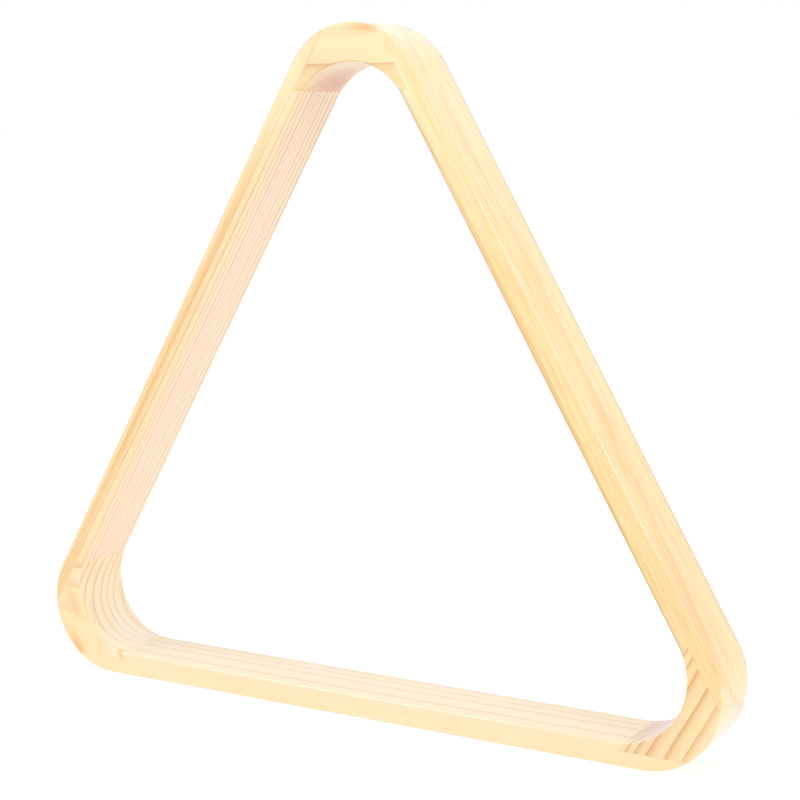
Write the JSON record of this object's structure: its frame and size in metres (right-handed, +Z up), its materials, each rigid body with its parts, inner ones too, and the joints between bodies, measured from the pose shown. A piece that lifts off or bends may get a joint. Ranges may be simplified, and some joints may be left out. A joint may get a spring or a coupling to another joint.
{
  "type": "billiard triangle rack",
  "caption": "Wooden triangular frame with rounded corners that gathers pool balls for the break; its straight rails are glued to let-in corner blocks.",
  "frame": {"origin": "on the floor under the middle of the base rail: the centre of the bounding box's bottom face, with the rack standing on its base rail", "axes": "+X along the base rail to the viewer's right, +Y from the front face to the back face (the way the balls pass through), +Z up through the middle of the apex corner"},
  "size_m": [0.3168, 0.03, 0.2827],
  "materials": {
    "base_rail_pine": "sanded clear pine with a thin satin seal, pale yellow, grain along the rail",
    "left_rail_pine": "sanded clear pine with a thin satin seal, pinkish with fine dark growth-ring lines",
    "right_rail_pine": "sanded clear pine with a thin satin seal, flat-sawn figure on its outer face",
    "apex_corner_block_pine": "sanded clear pine with a thin satin seal, grain across the corner",
    "left_corner_block_pine": "sanded clear pine with a thin satin seal, grain across the corner",
    "right_corner_block_pine": "sanded clear pine with a thin satin seal, broad growth-ring stripes across the corner"
  },
  "bodies": {
    "root": {"base_rail": "base_rail_pine", "left_rail": "left_rail_pine", "right_rail": "right_rail_pine", "apex_corner_block": "apex_corner_block_pine", "left_corner_block": "left_corner_block_pine", "right_corner_block": "right_corner_block_pine"}
  },
  "joints": []
}
